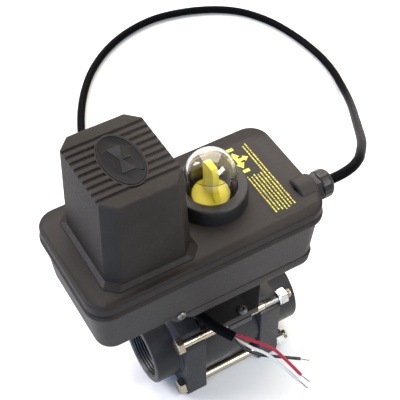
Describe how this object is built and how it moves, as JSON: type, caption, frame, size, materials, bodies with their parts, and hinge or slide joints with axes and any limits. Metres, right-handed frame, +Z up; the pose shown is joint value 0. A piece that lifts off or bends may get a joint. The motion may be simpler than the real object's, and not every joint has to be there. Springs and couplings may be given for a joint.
{
  "type": "motor-driven diverter ball valve",
  "caption": "Long moulded electric drive with a tall motor cover, clear position dome and side cable, standing on a flanged ball valve held together by tie bolts.",
  "frame": {"origin": "under the middle of the drive case, on the surface that the flanges stand on", "axes": "+X along the two in-line ports towards the cable gland, +Y towards the third port, +Z up along the valve stem"},
  "size_m": [0.4208, 0.5305, 0.269],
  "materials": {
    "case": "moulded black plastic, matt",
    "drive_trim": "moulded black plastic, slightly smoother",
    "valve_plastic": "glass-filled polypropylene, dark grey-black",
    "dome": "clear moulded plastic",
    "indicator": "bright yellow plastic",
    "label": "printed film, black with yellow lines",
    "stainless": "stainless steel",
    "brass": "machined brass",
    "rubber": "black seal rubber",
    "seat": "white low-friction plastic",
    "ball": "polished dark plastic",
    "board": "green circuit board",
    "sheath": "black flexible sheath",
    "wire_red": "red wire insulation",
    "wire_white": "white wire insulation",
    "wire_black": "black wire insulation"
  },
  "bodies": {
    "housing": {"base_tray": "case", "seal_screw": "stainless", "lid_gasket": "rubber", "lid": "case", "motor_cover": "case", "cover_badge": "drive_trim", "rating_label": "label", "case_screw_1": "stainless", "case_screw_2": "stainless", "case_screw_3": "stainless", "case_screw_4": "stainless", "dome_collar": "drive_trim", "dome_seal": "rubber", "indicator_dome": "dome", "gear_plate": "stainless", "drive_motor": "stainless", "limit_switch_1": "drive_trim", "limit_switch_2": "drive_trim", "control_board": "board", "terminal_block": "drive_trim", "mounting_neck": "drive_trim", "mounting_plate": "valve_plastic", "plate_screw_front": "stainless", "plate_screw_rear": "stainless", "valve_body": "valve_plastic", "stem_seal": "rubber", "rear_seat": "seat", "end_cap_left": "valve_plastic", "seat_left": "seat", "cap_seal_left": "rubber", "end_cap_right": "valve_plastic", "seat_right": "seat", "cap_seal_right": "rubber", "tie_bolt_1": "stainless", "tie_nut_1": "stainless", "tie_bolt_2": "stainless", "tie_nut_2": "stainless", "tie_bolt_3": "stainless", "tie_nut_3": "stainless", "tie_bolt_4": "stainless", "tie_nut_4": "stainless", "gland_body": "drive_trim", "gland_nut": "drive_trim", "gland_seal": "rubber", "power_cable": "sheath", "wire_red": "wire_red", "wire_white": "wire_white", "wire_black": "wire_black"},
    "turn": {"output_shaft": "stainless", "output_gear": "stainless", "switch_cam": "seat", "valve_stem": "stainless", "valve_ball": "ball", "indicator_disc": "indicator"},
    "idler": {"idler_gear": "brass"},
    "motor": {"motor_pinion": "brass"}
  },
  "joints": [
    {"name": "valve_turn", "type": "hinge", "parent": "housing", "child": "turn", "pos_m": [0.0246, 0, 0.1], "axis": [0, 0, 1], "range_deg": [0, 90]},
    {"name": "idler_spin", "type": "hinge", "parent": "housing", "child": "idler", "pos_m": [-0.0129, 0, 0.15], "axis": [0, 0, 1], "range_deg": [-285, 0]},
    {"name": "motor_spin", "type": "hinge", "parent": "housing", "child": "motor", "pos_m": [-0.0444, 0, 0.16], "axis": [0, 0, 1], "range_deg": [0, 712.5]}
  ],
  "couplings": [
    {"joint": "idler_spin", "follows": "valve_turn", "ratio": -3.1667},
    {"joint": "motor_spin", "follows": "valve_turn", "ratio": 7.9167}
  ]
}
